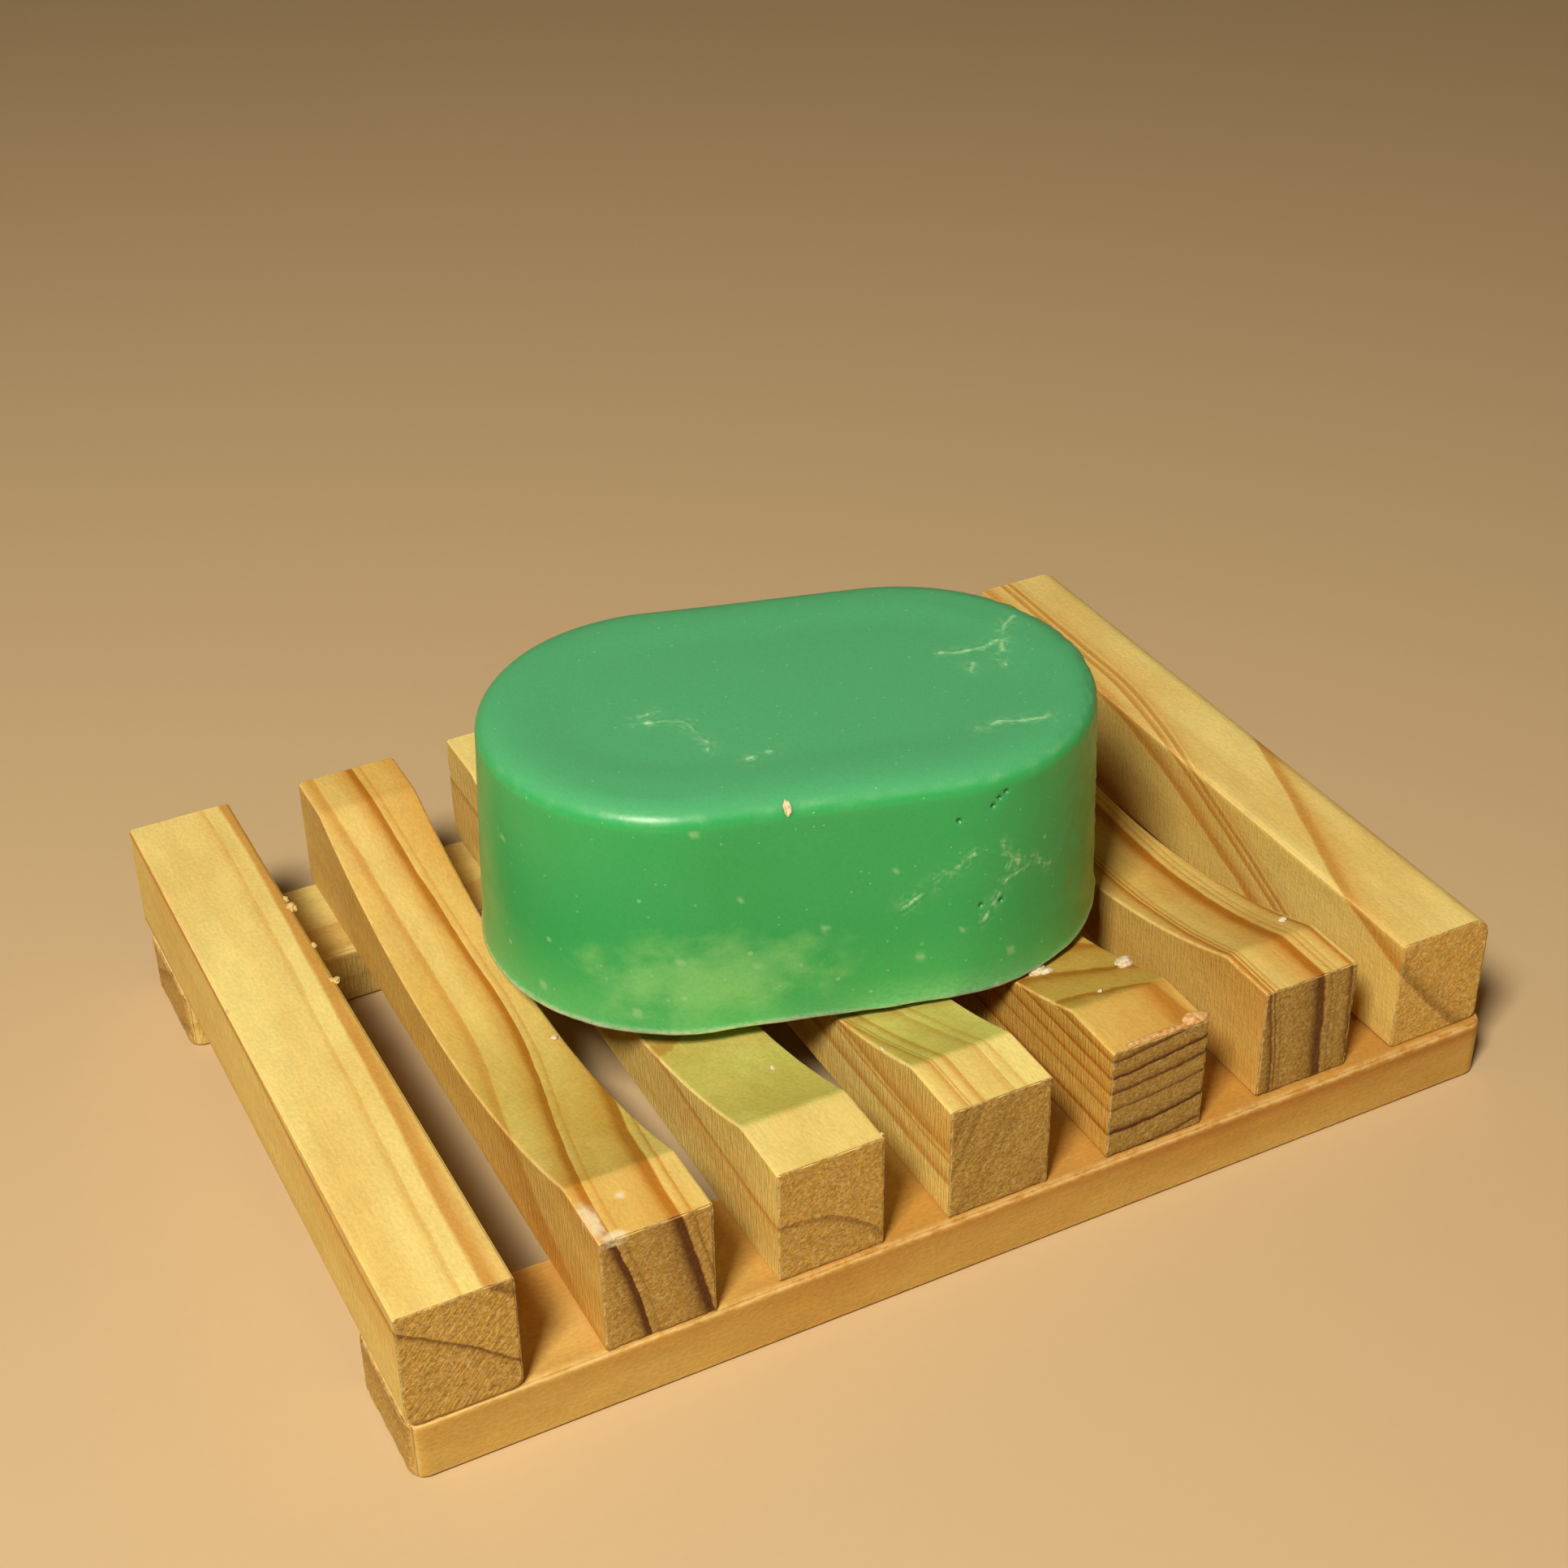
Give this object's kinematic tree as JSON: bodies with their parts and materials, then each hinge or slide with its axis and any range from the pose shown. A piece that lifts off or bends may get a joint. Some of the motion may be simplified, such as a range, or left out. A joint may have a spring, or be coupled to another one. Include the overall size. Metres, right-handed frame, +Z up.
{
  "type": "shaving soap puck on drying dish",
  "caption": "Oval green shaving soap puck resting in the trough of a slatted pine drying dish on two rails, drained between the slats.",
  "frame": {"origin": "centre of the dish's footprint, on the surface that the rails stand on", "axes": "+X along the rails (the dish's length), +Y from the front rail to the rear rail, +Z up"},
  "size_m": [0.12, 0.0836, 0.0427],
  "materials": {
    "soap": "waxy translucent green soap",
    "slat_pine": "sawn and sanded bare pine",
    "rail_pine": "planed bare pine",
    "brad_steel": "bright steel"
  },
  "bodies": {
    "dish": {"left_end_slat": "slat_pine", "scooped_slat_1": "slat_pine", "scooped_slat_2": "slat_pine", "scooped_slat_3": "slat_pine", "scooped_slat_4": "slat_pine", "scooped_slat_5": "slat_pine", "right_end_slat": "slat_pine", "front_rail": "rail_pine", "rear_rail": "rail_pine", "front_brads": "brad_steel", "rear_brads": "brad_steel"},
    "soap": {"soap_puck": "soap"}
  },
  "joints": [
    {"name": "soap_lift", "type": "slide", "parent": "dish", "child": "soap", "axis": [0, 0, 1], "range_m": [0, 0.06]}
  ]
}
